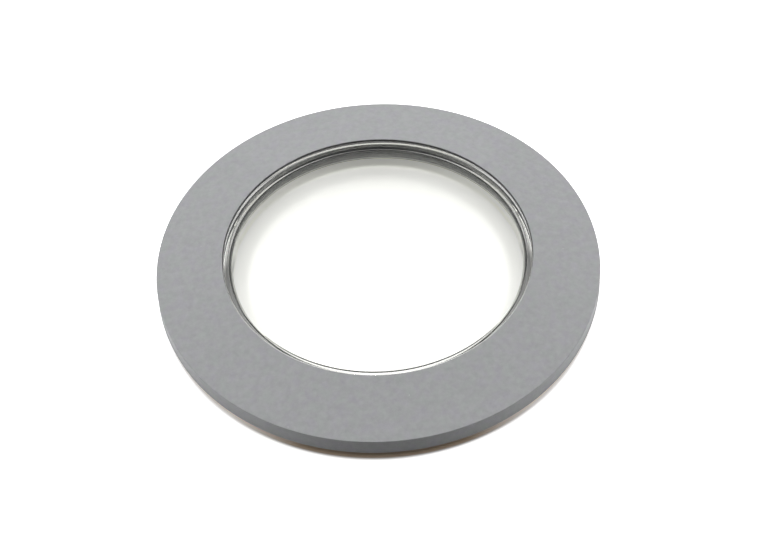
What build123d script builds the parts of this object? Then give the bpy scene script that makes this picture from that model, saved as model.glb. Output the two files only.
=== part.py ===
from build123d import *
import os

# Bean hopper lid: a clear window cap held in a soft grey rim.
# Millimetres, Z up. The origin is the middle of the plane that the lid stands on,
# and both pieces are turned about Z.

# Rim: a shallow cone round the window, with a straight side and a flat seat underneath
# that lies on the hopper's edge
rim_diameter = 140.0
rim_edge_height = 9.4
rim_rise = 3.4
rim_side_height = 5.1
rim_edge_chamfer = 0.2
rim_hole_chamfer = 0.25

# Lip: the thin sealing edge along the foot of the rim's straight side, sloped on top
lip_height = 0.9
lip_edge = 0.4
lip_depth = 0.25

# Window cap: a flat plate inside an upstanding edge, on a tapered skirt whose lower end
# plugs into the hopper's mouth
window_diameter = 97.4
window_recess = 0.65
edge_wall = 1.5
edge_rise = 1.2
edge_chamfer = 0.3
window_plate = 1.5
skirt_foot_wall = 0.9
skirt_root_chamfer = 0.4
skirt_foot_chamfer = 0.2
plug_step = 0.5

# Snap: the broad bead round the cap, and the groove in the rim that grips it
snap_height = 7.6
snap_reach = 0.9
snap_root_width = 3.6
snap_tip_width = 1.2

# Room all round the cap inside the rim
fit_clearance = 0.15

# Radii and heights that follow from the sizes above
rim_radius = rim_diameter / 2
rim_foot = rim_edge_height - rim_side_height
rim_top = rim_edge_height + rim_rise
lip_radius = rim_radius + lip_depth
window_radius = window_diameter / 2
edge_top = rim_top - window_recess
edge_radius = window_radius - edge_wall
plate_top = edge_top - edge_rise
plate_underside = plate_top - window_plate
plug_radius = window_radius - plug_step
hole_radius = window_radius + fit_clearance


def dress_corners(face, corners):
    """Chamfer each named corner (radius, height) of a profile by its own amount."""
    for (radius, height), amount in corners:
        corner = min(face.vertices(), key=lambda v: abs(v.X - radius) + abs(v.Z - height))
        face = chamfer(corner, amount)
    return face


def turned(outline, corners):
    """Solid of revolution from a closed outline in the XZ plane, with dressed corners."""
    face = dress_corners(make_face(outline), corners)
    return revolve(face, axis=Axis.Z)


def snap_outline(wall_radius, room):
    """The snap bead's four corners on a wall, from the lowest up, with room left round it."""
    root = snap_root_width / 2 + room
    tip = snap_tip_width / 2 + room
    return [
        (wall_radius, snap_height - root),
        (wall_radius + snap_reach, snap_height - tip),
        (wall_radius + snap_reach, snap_height + tip),
        (wall_radius, snap_height + root),
    ]


def window_cap():
    """Clear cap: plate, edge, snap bead, and skirt that steps in to the plug it stands on."""
    edge_outside = (window_radius, edge_top)
    edge_inside = (edge_radius, edge_top)
    foot_outside = (plug_radius, 0)
    foot_inside = (plug_radius - skirt_foot_wall, 0)
    skirt_root = (edge_radius, plate_underside)
    with BuildLine(Plane.XZ) as outline:
        Polyline(
            (0, plate_underside),
            skirt_root,
            foot_inside,
            foot_outside,
            (plug_radius, rim_foot),
            (window_radius, rim_foot),
            *snap_outline(window_radius, 0),
            edge_outside,
            edge_inside,
            (edge_radius, plate_top),
            (0, plate_top),
            close=True,
        )
    corners = [
        (edge_outside, edge_chamfer),
        (edge_inside, edge_chamfer),
        (foot_outside, skirt_foot_chamfer),
        (foot_inside, skirt_foot_chamfer),
        (skirt_root, skirt_root_chamfer),
    ]
    return turned(outline.edges(), corners)


def rim_seal():
    """Soft rim: cone, straight side with its lip, seat, and the groove for the snap bead."""
    hole_edge = (hole_radius, rim_top)
    outer_edge = (rim_radius, rim_edge_height)
    with BuildLine(Plane.XZ) as outline:
        Polyline(
            (rim_radius, rim_foot + lip_height),
            (lip_radius, rim_foot + lip_edge),
            (lip_radius, rim_foot),
            (hole_radius, rim_foot),
            *snap_outline(hole_radius, fit_clearance),
            hole_edge,
            outer_edge,
            close=True,
        )
    corners = [
        (hole_edge, rim_hole_chamfer),
        (outer_edge, rim_edge_chamfer),
    ]
    return turned(outline.edges(), corners)


os.makedirs("parts", exist_ok=True)
export_step(window_cap(), "parts/window_cap.step")
export_step(rim_seal(), "parts/rim_seal.step")
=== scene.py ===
import math

import bmesh
import bpy
from mathutils import Matrix, Vector


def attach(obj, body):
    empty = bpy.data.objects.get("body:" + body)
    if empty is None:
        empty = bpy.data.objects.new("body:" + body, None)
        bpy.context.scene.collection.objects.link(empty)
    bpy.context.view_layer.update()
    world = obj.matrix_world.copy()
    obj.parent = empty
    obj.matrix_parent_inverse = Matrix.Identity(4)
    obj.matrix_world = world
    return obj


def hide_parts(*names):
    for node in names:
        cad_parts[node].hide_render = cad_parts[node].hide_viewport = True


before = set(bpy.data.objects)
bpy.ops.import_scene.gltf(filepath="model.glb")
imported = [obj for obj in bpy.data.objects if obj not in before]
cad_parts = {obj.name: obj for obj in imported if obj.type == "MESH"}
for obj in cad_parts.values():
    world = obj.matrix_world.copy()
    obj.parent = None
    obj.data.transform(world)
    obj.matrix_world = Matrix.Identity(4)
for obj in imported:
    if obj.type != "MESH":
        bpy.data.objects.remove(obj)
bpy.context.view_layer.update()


def grey(level):
    """A neutral colour."""
    return (level, level, level, 1.0)


MM = 0.001
WHITE = grey(1.0)
BLACK = grey(0.0)

# Rim section, in millimetres from the lid's axis and from the table
RIM_RADIUS = 70.0
RIM_EDGE_HEIGHT = 9.4
RIM_TOP = 12.8
RIM_FOOT = 4.3
HOLE_RADIUS = 48.85
LIP_HEIGHT = 0.9
LIP_EDGE = 0.4
LIP_DEPTH = 0.25
RIM_ROUND = 0.25
HOLE_ROUND = 0.23

# Window cap section: an edge stands up round the plate, and the skirt ends in a plug
WINDOW_RADIUS = 48.7
EDGE_TOP = 12.15
EDGE_RADIUS = 47.2
EDGE_RISE = 1.2
EDGE_OUTER_ROUND = 0.3
EDGE_INNER_ROUND = 0.04
PLATE = 1.5
SKIRT_ROOT_ROUND = 1.3
SKIRT_FOOT = 47.3
PLUG_RADIUS = 48.2

# The snap bead on the cap, and how far the rim's groove presses into it
SNAP_HEIGHT = 7.6
SNAP_REACH = 0.9
SNAP_ROOT = 3.6
SNAP_TIP = 1.2
SNAP_PRESS = 0.02

# Fineness of the turned meshes, and the angle from which an edge stays sharp
LATHE_SEGMENTS = 360
ARC_STEPS = 12
SHARP_ANGLE = math.radians(35)

# Camera, fitted to the rim's outer edge and to the edge of its hole
CAMERA_PLACE = Vector((2.9, -287.0, 342.0)) * MM
CAMERA_ELEVATION = math.radians(49.84)
CAMERA_ROLL = math.radians(-2.59)
SENSOR_WIDTH = 36.0
PHOTO_WIDTH = 775
FOCAL_PIXELS = 1387

# Noise values between which two colours blend
NOISE_LOW = 0.3
NOISE_HIGH = 0.7

# Grey silicone: the scales are per metre and the depth of the grain is in millimetres
SILICONE_DARK = (0.302, 0.308, 0.313, 1.0)
SILICONE_PALE = (0.362, 0.366, 0.372, 1.0)
SILICONE_ROUGHNESS = 0.5
CLOUD_SCALE = 520.0
PATCH_SCALE = 330.0
PATCH_TINTS = [(0.35, (1.0, 0.98, 1.03, 1.0)), (0.5, WHITE), (0.65, (0.98, 1.01, 0.985, 1.0))]
DUST_SCALE = 150.0
DUST_EDGE = [(0.012, WHITE), (0.026, BLACK)]
DUST = grey(0.6)
GRAIN_SCALE = 2500.0
GRAIN_STRENGTH = 0.15
GRAIN_DEPTH = 0.05

# Shade on the wall of the hole: it starts where a surface faces the axis this squarely,
# deepens this quickly from there, and stops at this share of its colour
SHADE_START = 0.6
SHADE_STEEPNESS = 4.0
HOLE_SHADE = 0.75
HOLE_DARK = grey(0.02)

# Clear plastic: the scales are per metre and the depth of the waves is in millimetres
CLEAR_DIM = (0.978, 0.984, 0.936, 1.0)
CLEAR_BRIGHT = (0.992, 0.996, 0.954, 1.0)
CLEAR_IOR = 1.49
HAZE_SCALE = 90.0
WAVE_SCALE = 60.0
WAVE_STRENGTH = 0.2
WAVE_DEPTH = 0.2
LAMP_TINT = grey(0.95)

# Floor: metres across, and millimetres above the plane that the lid stands on
FLOOR_SIZE = 4.0
FLOOR_RISE = 0.01
FLOOR_BOUNCE = grey(0.12)

# The tables below go by millimetres from the lid's axis, up to this reach
FLOOR_REACH = 100.0

# Painted shadow on the floor: warm and darker under the lip
SHADOW_WARM_DEEP = (0.54, 0.4, 0.29, 1.0)
SHADOW_WARM_PALE = (1.0, 0.78, 0.58, 1.0)
FLOOR_SHADOW_TINTS = [(60, WHITE), (66, SHADOW_WARM_DEEP), (67.8, SHADOW_WARM_DEEP), (68.8, SHADOW_WARM_PALE), (70, WHITE)]

# Painted shade, a dark ring on the table at the skirt's foot: whole in front of FOOT_NEAR along Y,
# gone behind FOOT_FAR
FOOT_SHADE = grey(0.15)
FOOT_SHADE_BAND = [(46.8, 0.0), (47.3, 1.0), (49.3, 1.0), (49.8, 0.0)]
FOOT_NEAR = 1.0
FOOT_FAR = 11.0

# Painted light that the floor gives off under the lid, and the white beyond it: at the near and far
# ends, at the two sides, and the power of the distance along Y by which the ends take over from the
# sides
LIFT_ENDS = [
    (30, 0.45),
    (42, 0.57),
    (46.8, 0.5),
    (47.2, 0.55),
    (48.3, 0.55),
    (48.8, 0.3),
    (60, 0.12),
    (65, 0.0),
    (69.3, 0.0),
    (70, 0.8),
]
LIFT_SIDES = [
    (38, 0.42),
    (41, 0.37),
    (43, 0.17),
    (46.8, 0.13),
    (47.2, 0.1),
    (48.3, 0.1),
    (48.8, 0.15),
    (50.5, 0.4),
    (54, 0.3),
    (60, 0.12),
    (65, 0.0),
    (69.3, 0.0),
    (70, 0.8),
]
LIFT_POWER = 2.0

# More painted light under the lip, which fades with the distance along Y
LIP_BAND = [(64, 0.0), (66, 1.0), (69.3, 1.0), (70, 0.0)]
LIP_FADE = [(40, 0.4), (52, 0.33), (59, 0.15), (64, 0.0)]

# Lamps: name, place and size in metres, watts, and whether they show in reflections
LAMPS = [
    ("soft_box_top", (0.0, -0.1, 1.3), (0.7, 0.06), 3.0, True),
    ("soft_box_back", (0.0, 0.9, 1.1), (1.6, 1.0), 14.4, False),
    ("soft_box_side", (-1.2, 0.0, 0.3), (0.7, 0.5), 8.8, False),
    ("soft_box_side", (1.2, 0.0, 0.3), (0.7, 0.5), 8.8, False),
]
LAMP_TARGET = Vector((0, 0, 0))

# Room round the lid, from 0 straight in front to 1 straight behind
ROOM_GREYS = [(0.4, 0.03), (0.7, 0.45)]

# A Mix node's colour sockets, by number because its other types have the same names
MIX_FIRST = 6
MIX_SECOND = 7
MIX_RESULT = 2

# Keeps the level part of a vector
LEVEL = (1.0, 1.0, 0.0)


class Tree:
    """A node tree with short calls to add nodes and link them."""

    def __init__(self, owner):
        owner.use_nodes = True
        self.nodes = owner.node_tree.nodes
        self.links = owner.node_tree.links
        self.nodes.clear()

    def add(self, kind, settings=None, **inputs):
        """Add a node; inputs are values or output sockets, by input name with _ for spaces."""
        node = self.nodes.new(kind)
        for name, value in (settings or {}).items():
            setattr(node, name, value)
        for name, value in inputs.items():
            self.put(node, name.replace("_", " "), value)
        return node

    def put(self, node, name, value):
        """Set or link one input of a node, by its name or its number."""
        socket = node.inputs[name]
        if isinstance(value, bpy.types.NodeSocket):
            self.links.new(value, socket)
        else:
            socket.default_value = value

    def numbered(self, kind, values, settings=None, **inputs):
        """Add a node whose inputs from the first on go by number, because they share a name."""
        node = self.add(kind, settings, **inputs)
        for number, value in enumerate(values):
            self.put(node, number, value)
        return node

    def math(self, operation, *values):
        """Output of a Math node."""
        return self.numbered("ShaderNodeMath", values, {"operation": operation}).outputs["Value"]

    def vectors(self, operation, *values):
        """Vector Math node."""
        return self.numbered("ShaderNodeVectorMath", values, {"operation": operation})

    def mix(self, factor, first, second, blend="MIX"):
        """Colour output of a Mix node."""
        node = self.add("ShaderNodeMix", {"data_type": "RGBA", "blend_type": blend}, Factor=factor)
        self.put(node, MIX_FIRST, first)
        self.put(node, MIX_SECOND, second)
        return node.outputs[MIX_RESULT]

    def ramp(self, factor, stops):
        """Colour output of a Color Ramp with the given (place, colour) stops."""
        node = self.add("ShaderNodeValToRGB", Fac=factor)
        elements = node.color_ramp.elements
        while len(elements) < len(stops):
            elements.new(0.5)
        for element, (place, colour) in zip(elements, stops):
            element.position = place
            element.color = colour
        return node.outputs["Color"]

    def noise(self, place, scale, **inputs):
        """Value of a Noise Texture."""
        node = self.add("ShaderNodeTexNoise", Vector=place, Scale=scale, **inputs)
        return node.outputs["Fac"]

    def bump(self, height, strength, depth):
        """Normal from a Bump node, with its depth in millimetres."""
        node = self.add("ShaderNodeBump", Strength=strength, Distance=depth * MM, Height=height)
        return node.outputs["Normal"]


def corner_arc(before, corner, after, radius):
    """Points of the arc that rounds one corner of an outline."""
    here = Vector(corner)
    back = (Vector(before) - here).normalized()
    ahead = (Vector(after) - here).normalized()
    half = back.angle(ahead) / 2
    reach = radius / math.tan(half)
    middle = here + (back + ahead).normalized() * radius / math.sin(half)
    start = here + back * reach - middle
    end = here + ahead * reach - middle
    sweep = start.angle_signed(end)
    turns = (Matrix.Rotation(-sweep * step / ARC_STEPS, 2) for step in range(ARC_STEPS + 1))
    return [tuple(middle + turn @ start) for turn in turns]


def outline(corners):
    """Points of an outline from (radius, height, round) corners, with arcs at the rounds."""
    points = []
    for number, (radius, height, roundness) in enumerate(corners):
        if not roundness:
            points.append((radius, height))
            continue
        before = corners[number - 1][:2]
        after = corners[(number + 1) % len(corners)][:2]
        points += corner_arc(before, (radius, height), after, roundness)
    return points


def new_object(name, data):
    """Object in the scene for a mesh, a light or a camera."""
    item = bpy.data.objects.new(name, data)
    bpy.context.scene.collection.objects.link(item)
    return item


def ring(mesh, radius, height):
    """Vertices of one ring about Z, or a single one on the axis."""
    count = LATHE_SEGMENTS if radius else 1
    angles = (math.tau * step / LATHE_SEGMENTS for step in range(count))
    return [
        mesh.verts.new(Vector((radius * math.cos(a), radius * math.sin(a), height)) * MM)
        for a in angles
    ]


def bridge(mesh, first, second):
    """Faces between two neighbouring rings."""
    for step in range(LATHE_SEGMENTS):
        corners = [
            first[step % len(first)],
            first[(step + 1) % len(first)],
            second[(step + 1) % len(second)],
            second[step % len(second)],
        ]
        mesh.faces.new(list(dict.fromkeys(corners)))


def lathe(name, points, closed):
    """Mesh object turned about Z from outline points in millimetres."""
    mesh = bmesh.new()
    rings = [ring(mesh, radius, height) for radius, height in points]
    for first, second in zip(rings, rings[1:]):
        bridge(mesh, first, second)
    if closed:
        bridge(mesh, rings[-1], rings[0])
    bmesh.ops.recalc_face_normals(mesh, faces=mesh.faces)
    data = bpy.data.meshes.new(name)
    mesh.to_mesh(data)
    mesh.free()
    data.shade_smooth()
    data.set_sharp_from_angle(angle=SHARP_ANGLE)
    piece = new_object(name, data)
    normals = piece.modifiers.new("flat faces stay flat", "WEIGHTED_NORMAL")
    normals.keep_sharp = True
    return piece


def snap_corners(wall_radius, press):
    """The snap bead's four corners from a wall out, lowest first, drawn in by a press."""
    reach = WINDOW_RADIUS + SNAP_REACH - press
    tip = SNAP_TIP / 2 - press
    flank = (SNAP_ROOT - SNAP_TIP) / 2 / SNAP_REACH
    root = tip + flank * (reach - wall_radius)
    return [
        (wall_radius, SNAP_HEIGHT - root, 0),
        (reach, SNAP_HEIGHT - tip, 0),
        (reach, SNAP_HEIGHT + tip, 0),
        (wall_radius, SNAP_HEIGHT + root, 0),
    ]


def make_window():
    """Clear cap: plate inside an upstanding edge, on a skirt with its snap bead and plug."""
    plate_top = EDGE_TOP - EDGE_RISE
    underside = plate_top - PLATE
    section = [
        (0, underside, 0),
        (EDGE_RADIUS, underside, SKIRT_ROOT_ROUND),
        (SKIRT_FOOT, 0, 0),
        (PLUG_RADIUS, 0, 0),
        (PLUG_RADIUS, RIM_FOOT, 0),
        (WINDOW_RADIUS, RIM_FOOT, 0),
        *snap_corners(WINDOW_RADIUS, 0),
        (WINDOW_RADIUS, EDGE_TOP, EDGE_OUTER_ROUND),
        (EDGE_RADIUS, EDGE_TOP, EDGE_INNER_ROUND),
        (EDGE_RADIUS, plate_top, 0),
        (0, plate_top, 0),
    ]
    return lathe("window", outline(section), closed=False)


def make_rim():
    """Soft rim: shallow cone, straight side with its lip, flat underside, and the bead's groove."""
    section = [
        (HOLE_RADIUS, RIM_FOOT, RIM_ROUND),
        *snap_corners(HOLE_RADIUS, SNAP_PRESS),
        (HOLE_RADIUS, RIM_TOP, HOLE_ROUND),
        (RIM_RADIUS, RIM_EDGE_HEIGHT, RIM_ROUND),
        (RIM_RADIUS, RIM_FOOT + LIP_HEIGHT, 0),
        (RIM_RADIUS + LIP_DEPTH, RIM_FOOT + LIP_EDGE, 0),
        (RIM_RADIUS + LIP_DEPTH, RIM_FOOT, 0),
    ]
    return lathe("rim", outline(section), closed=True)


def inward(tree, coordinates):
    """How squarely a surface faces the lid's axis: 1 on the wall of the hole, below 0 outside."""
    spoke = tree.vectors("MULTIPLY", coordinates.outputs["Object"], LEVEL)
    facing = tree.vectors("DOT_PRODUCT", spoke.outputs["Vector"], coordinates.outputs["Normal"])
    return tree.math("MULTIPLY", facing.outputs["Value"], -1 / (HOLE_RADIUS * MM))


def mottled_grey(tree, place):
    """Colour of the silicone: fine cloudy tone, faint violet and green patches, a few dust specks."""
    cloud = tree.noise(place, CLOUD_SCALE, Detail=5.0, Roughness=0.7)
    tone = tree.ramp(cloud, [(NOISE_LOW, SILICONE_DARK), (NOISE_HIGH, SILICONE_PALE)])
    tint = tree.ramp(tree.noise(place, PATCH_SCALE, Detail=3.0), PATCH_TINTS)
    cells = tree.add("ShaderNodeTexVoronoi", Vector=place, Scale=DUST_SCALE)
    specks = tree.ramp(cells.outputs["Distance"], DUST_EDGE)
    return tree.mix(specks, tree.mix(1.0, tone, tint, "MULTIPLY"), DUST)


def silicone():
    """Matte grey silicone with fine grain, and painted shade on the wall of the hole."""
    material = bpy.data.materials.new("grey_silicone")
    tree = Tree(material)
    coordinates = tree.add("ShaderNodeTexCoord")
    place = coordinates.outputs["Object"]
    facing = inward(tree, coordinates)
    wall = tree.math("MULTIPLY_ADD", facing, SHADE_STEEPNESS, -SHADE_START * SHADE_STEEPNESS)
    shade = tree.math("MINIMUM", wall, HOLE_SHADE)
    grain = tree.noise(place, GRAIN_SCALE, Detail=2.0)
    shader = tree.add(
        "ShaderNodeBsdfPrincipled",
        Base_Color=tree.mix(shade, mottled_grey(tree, place), HOLE_DARK),
        Roughness=SILICONE_ROUGHNESS,
        Normal=tree.bump(grain, GRAIN_STRENGTH, GRAIN_DEPTH),
    )
    tree.add("ShaderNodeOutputMaterial", Surface=shader.outputs["BSDF"])
    return material


def clear_plastic():
    """Clear moulded plastic, slightly wavy, that lets lamplight through to what lies under it."""
    material = bpy.data.materials.new("clear_plastic")
    tree = Tree(material)
    place = tree.add("ShaderNodeTexCoord").outputs["Object"]
    haze = tree.noise(place, HAZE_SCALE, Detail=4.0)
    waves = tree.noise(place, WAVE_SCALE, Detail=1.0)
    shader = tree.add(
        "ShaderNodeBsdfPrincipled",
        Base_Color=tree.ramp(haze, [(NOISE_LOW, CLEAR_DIM), (NOISE_HIGH, CLEAR_BRIGHT)]),
        Roughness=0.0,
        IOR=CLEAR_IOR,
        Transmission_Weight=1.0,
        Normal=tree.bump(waves, WAVE_STRENGTH, WAVE_DEPTH),
    )
    through = tree.add("ShaderNodeBsdfTransparent", Color=LAMP_TINT)
    path = tree.add("ShaderNodeLightPath")
    lamp_ray = tree.math("MAXIMUM", path.outputs["Is Shadow Ray"], path.outputs["Is Diffuse Ray"])
    choices = [lamp_ray, shader.outputs["BSDF"], through.outputs["BSDF"]]
    either = tree.numbered("ShaderNodeMixShader", choices)
    tree.add("ShaderNodeOutputMaterial", Surface=either.outputs["Shader"])
    return material


def greys(stops):
    """Colour stops from (place, level) stops."""
    return [(place, grey(level)) for place, level in stops]


def by_distance(tree, share, stops):
    """Colour that follows a share of FLOOR_REACH, from (millimetres, colour) stops."""
    return tree.ramp(share, [(distance / FLOOR_REACH, colour) for distance, colour in stops])


def floor_shadow_tint(tree, radius, along):
    """Colour of the table: painted warm shadow under the lip, and painted shade at the skirt's foot on
    the near half.
    """
    near = tree.add("ShaderNodeMapRange", Value=along, From_Min=FOOT_FAR * MM, From_Max=FOOT_NEAR * MM)
    band = by_distance(tree, radius, greys(FOOT_SHADE_BAND))
    foot = tree.math("MULTIPLY", near.outputs["Result"], band)
    return tree.mix(foot, by_distance(tree, radius, FLOOR_SHADOW_TINTS), FOOT_SHADE)


def floor_painted_light(tree, radius, along):
    """Painted light that the table gives off under the lid, by radius and by distance from the lid's
    sides.
    """
    away = tree.math("ABSOLUTE", along)
    window_share = tree.math("MULTIPLY", away, 1 / (WINDOW_RADIUS * MM))
    ends = tree.math("POWER", window_share, LIFT_POWER)
    at_sides = by_distance(tree, radius, greys(LIFT_SIDES))
    at_ends = by_distance(tree, radius, greys(LIFT_ENDS))
    reach_share = tree.math("MULTIPLY", away, 1 / (FLOOR_REACH * MM))
    fade = by_distance(tree, reach_share, greys(LIP_FADE))
    lip = tree.mix(1.0, by_distance(tree, radius, greys(LIP_BAND)), fade, "MULTIPLY")
    return tree.mix(1.0, tree.mix(ends, at_sides, at_ends), lip, "ADD")


def floor_material():
    """White table top that keeps the lid's shadow under the rim, with painted shadow and painted light
    under the lid, and goes white beyond it.
    """
    material = bpy.data.materials.new("table_white")
    tree = Tree(material)
    path = tree.add("ShaderNodeLightPath")
    seen = tree.math("MAXIMUM", path.outputs["Is Camera Ray"], path.outputs["Is Glossy Ray"])
    seen = tree.math("MAXIMUM", seen, path.outputs["Is Transmission Ray"])
    place = tree.add("ShaderNodeTexCoord").outputs["Object"]
    along = tree.add("ShaderNodeSeparateXYZ", Vector=place).outputs["Y"]
    distance = tree.vectors("LENGTH", place)
    radius = tree.math("MULTIPLY", distance.outputs["Value"], 1 / (FLOOR_REACH * MM))
    # Painted shadow under the lip and at the skirt's foot for what is seen, a dim grey for bounced
    # light
    tint = tree.mix(seen, FLOOR_BOUNCE, floor_shadow_tint(tree, radius, along))
    paint = tree.add("ShaderNodeBsdfDiffuse", Color=tint)
    # Painted light given off under the lid, and the white beyond it
    glow = tree.add("ShaderNodeEmission", Color=floor_painted_light(tree, radius, along), Strength=seen)
    both = tree.numbered("ShaderNodeAddShader", [paint.outputs["BSDF"], glow.outputs["Emission"]])
    tree.add("ShaderNodeOutputMaterial", Surface=both.outputs["Shader"])
    return material


def make_floor():
    """Plain floor that the lid stands on."""
    bpy.ops.mesh.primitive_plane_add(size=FLOOR_SIZE, location=(0, 0, FLOOR_RISE * MM))
    floor = bpy.context.object
    floor.name = "floor"
    floor.data.materials.append(floor_material())


def make_lamp(name, place, size, watts, reflected):
    """Rectangular soft light that faces the lid and is not seen through the clear cap."""
    light = bpy.data.lights.new(name, "AREA")
    light.shape = "RECTANGLE"
    light.size, light.size_y = size
    light.energy = watts
    lamp = new_object(name, light)
    lamp.location = place
    lamp.rotation_mode = "QUATERNION"
    lamp.rotation_quaternion = (LAMP_TARGET - Vector(place)).to_track_quat("-Z", "Y")
    lamp.visible_glossy = reflected
    lamp.visible_transmission = False


def make_room():
    """Room that is dark in front of the lid and pale behind it."""
    world = bpy.data.worlds.new("room")
    tree = Tree(world)
    direction = tree.add("ShaderNodeTexCoord").outputs["Generated"]
    backward = tree.add("ShaderNodeSeparateXYZ", Vector=direction).outputs["Y"]
    share = tree.math("MULTIPLY_ADD", backward, 0.5, 0.5)
    background = tree.add("ShaderNodeBackground", Color=tree.ramp(share, greys(ROOM_GREYS)))
    tree.add("ShaderNodeOutputWorld", Surface=background.outputs["Background"])
    bpy.context.scene.world = world


def make_camera():
    """Camera at the photograph's viewpoint, with its slight roll."""
    data = bpy.data.cameras.new("camera")
    data.sensor_width = SENSOR_WIDTH
    data.lens = SENSOR_WIDTH * FOCAL_PIXELS / PHOTO_WIDTH
    level = Vector((1, 0, 0))
    upright = Vector((0, math.sin(CAMERA_ELEVATION), math.cos(CAMERA_ELEVATION)))
    right = math.cos(CAMERA_ROLL) * level + math.sin(CAMERA_ROLL) * upright
    up = -math.sin(CAMERA_ROLL) * level + math.cos(CAMERA_ROLL) * upright
    turn = Matrix((right, up, right.cross(up))).transposed().to_4x4()
    camera = new_object("camera", data)
    camera.matrix_world = Matrix.Translation(CAMERA_PLACE) @ turn
    bpy.context.scene.camera = camera


def dress(piece, node, material):
    """Put a finished piece in a CAD node's place, with its material."""
    piece.data.materials.append(material)
    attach(piece, "root")
    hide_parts(node)


dress(make_rim(), "rim_seal", silicone())
dress(make_window(), "window_cap", clear_plastic())
make_floor()
for lamp_values in LAMPS:
    make_lamp(*lamp_values)
make_room()
make_camera()
bpy.context.scene.view_settings.view_transform = "Standard"
